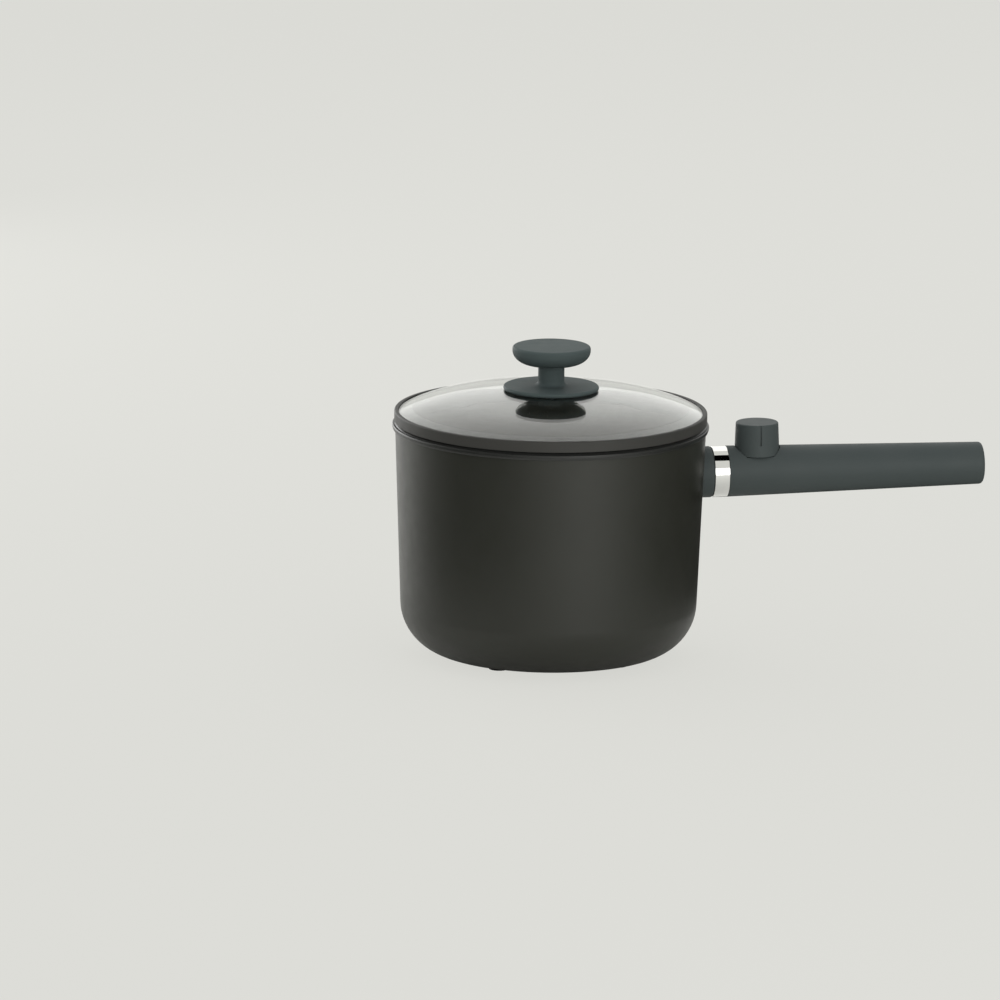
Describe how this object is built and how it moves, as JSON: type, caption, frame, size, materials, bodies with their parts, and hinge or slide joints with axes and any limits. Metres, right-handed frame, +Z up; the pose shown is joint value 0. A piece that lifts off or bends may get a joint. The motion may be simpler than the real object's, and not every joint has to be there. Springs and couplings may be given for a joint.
{
  "type": "electric hot pot",
  "caption": "Small round electric hot pot with a domed glass lift-off lid, a round lid knob and one long straight handle that carries a rotary control knob.",
  "frame": {"origin": "on the table, under the middle of the pot", "axes": "+Z up, +X from the pot's middle along the handle, +Y to the far side when the handle points right"},
  "size_m": [0.3211, 0.17, 0.1693],
  "materials": {
    "housing_plastic": "matt black moulded polypropylene",
    "pot_coating": "spun aluminium with a matt black non-stick coating",
    "foot_rubber": "soft black rubber",
    "handle_plastic": "matt black moulded plastic",
    "lid_plastic": "satin black heat-proof moulded plastic",
    "inlet_plastic": "black glass-filled nylon",
    "switch_plastic": "black moulded plastic",
    "lid_glass": "clear tempered glass",
    "chrome": "polished chrome plate",
    "screw_steel": "zinc-plated steel",
    "element_steel": "heat-darkened stainless steel tube",
    "heater_aluminium": "cast aluminium",
    "bush_ceramic": "pale steatite ceramic",
    "fuse_body": "pale insulated case",
    "contact_brass": "bare brass",
    "fuse_wire": "tinned wire",
    "gasket_silicone": "soft black silicone",
    "live_insulation": "brown silicone sleeve",
    "neutral_insulation": "blue silicone sleeve",
    "earth_insulation": "green and yellow silicone sleeve"
  },
  "bodies": {
    "pot": {"outer_housing": "housing_plastic", "inner_pot": "pot_coating", "feet": "foot_rubber", "base_cover": "housing_plastic", "base_screws": "screw_steel", "pot_posts": "screw_steel", "heater_plate": "heater_aluminium", "heating_element": "element_steel", "element_bushes": "bush_ceramic", "element_pins": "element_steel", "lead_terminals": "contact_brass", "thermostat": "switch_plastic", "thermostat_terminals": "contact_brass", "thermostat_bracket": "screw_steel", "bracket_screws": "screw_steel", "earth_screw": "screw_steel", "earth_lug": "contact_brass", "thermal_fuse": "fuse_body", "fuse_leads": "fuse_wire", "heat_shield": "screw_steel", "handle_socket": "handle_plastic", "socket_screws": "screw_steel", "handle_ring": "chrome", "handle_upper_shell": "handle_plastic", "handle_lower_shell": "handle_plastic", "handle_screws": "screw_steel", "rotary_switch": "switch_plastic", "switch_terminals": "contact_brass", "switch_nut": "contact_brass", "power_inlet": "inlet_plastic", "inlet_pins": "contact_brass", "live_lead": "live_insulation", "neutral_lead": "neutral_insulation", "earth_lead": "earth_insulation", "switched_lead": "live_insulation"},
    "control_knob": {"control_knob": "handle_plastic", "switch_shaft": "screw_steel", "hub_clip": "screw_steel"},
    "lid": {"lid_glass": "lid_glass", "lid_ring": "lid_plastic", "lid_knob": "lid_plastic", "knob_insert": "contact_brass", "knob_gaskets": "gasket_silicone", "knob_washer": "screw_steel", "knob_screw": "screw_steel"}
  },
  "joints": [
    {"name": "lid_lift", "type": "slide", "parent": "pot", "child": "lid", "axis": [0, 0, 1], "range_m": [0, 0.1]},
    {"name": "knob_turn", "type": "hinge", "parent": "pot", "child": "control_knob", "pos_m": [0.1128, 0, 0.09856], "axis": [-0.0096, 0, 1], "range_deg": [-60, 60]}
  ]
}
